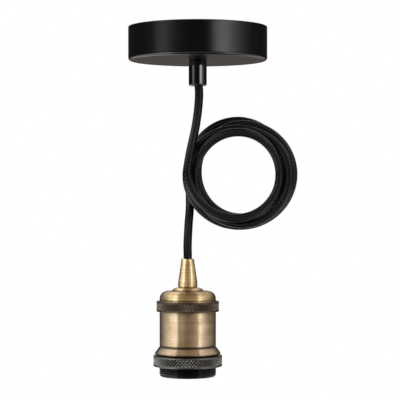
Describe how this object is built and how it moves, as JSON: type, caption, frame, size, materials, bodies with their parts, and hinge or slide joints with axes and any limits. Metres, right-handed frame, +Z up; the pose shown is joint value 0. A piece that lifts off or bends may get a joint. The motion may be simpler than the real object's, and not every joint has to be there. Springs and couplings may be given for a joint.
{
  "type": "pendant light",
  "caption": "Ceiling pendant with a round rose, a textile cord wound in a coil and a screw lampholder with a threaded skirt and a shade ring.",
  "frame": {"origin": "in the ceiling plane, on the axis of the ceiling rose", "axes": "+Z up into the ceiling, the lamp hangs towards -Z; the front of the lamp faces -Y and the coil of cord hangs at its +X side"},
  "size_m": [0.1216, 0.1, 0.2512],
  "materials": {
    "satin_black_paint": "satin black powder coat",
    "black_plastic": "glossy black moulded plastic",
    "zinc_steel": "bright zinc plate",
    "bright_brass": "plain bright brass",
    "white_plastic": "moulded",
    "brown_insulation": "smooth wire insulation",
    "blue_insulation": "smooth wire insulation",
    "earth_insulation": "smooth wire insulation, green with a yellow stripe",
    "black_textile": "braided textile over a round cable",
    "antique_brass": "brushed antique brass",
    "dark_bronze": "darkened, diamond knurled",
    "black_moulding": "moulded phenolic",
    "cream_moulding": "smooth insulating moulding"
  },
  "bodies": {
    "lamp": {"canopy": "satin_black_paint", "canopy_cord_grip": "black_plastic", "grip_set_screw": "black_plastic", "ceiling_bracket": "zinc_steel", "canopy_nipple": "zinc_steel", "bracket_nut_upper": "zinc_steel", "bracket_nut_lower": "zinc_steel", "bracket_earth_tag": "bright_brass", "terminal_block": "white_plastic", "terminal_insert_live": "bright_brass", "terminal_insert_neutral": "bright_brass", "terminal_insert_earth": "bright_brass", "terminal_screw_lamp_live": "zinc_steel", "terminal_screw_lamp_neutral": "zinc_steel", "terminal_screw_lamp_earth": "zinc_steel", "terminal_screw_supply_live": "zinc_steel", "terminal_screw_supply_neutral": "zinc_steel", "terminal_screw_supply_earth": "zinc_steel", "canopy_core_live": "brown_insulation", "canopy_core_neutral": "blue_insulation", "canopy_core_earth": "earth_insulation", "earth_link_wire": "earth_insulation", "cord_upper": "black_textile", "cord_coil": "black_textile", "cord_lower": "black_textile", "cone_cord_grip": "antique_brass", "cone_set_screw": "zinc_steel", "holder_nipple": "zinc_steel", "holder_nut": "zinc_steel", "holder_earth_tag": "bright_brass", "dome_cap": "antique_brass", "cap_ring": "dark_bronze", "holder_body": "antique_brass", "insulator_body": "black_moulding", "socket_base": "cream_moulding", "screw_shell": "bright_brass", "centre_contact": "bright_brass", "live_terminal": "bright_brass", "neutral_terminal": "bright_brass", "live_terminal_screw": "zinc_steel", "neutral_terminal_screw": "zinc_steel", "holder_core_live": "brown_insulation", "holder_core_neutral": "blue_insulation", "holder_core_earth": "earth_insulation"},
    "shade_ring": {"shade_ring": "dark_bronze"}
  },
  "joints": [
    {"name": "shade_ring_unscrew", "type": "slide", "parent": "lamp", "child": "shade_ring", "axis": [0, 0, -1], "range_m": [0, 0.0125]}
  ]
}
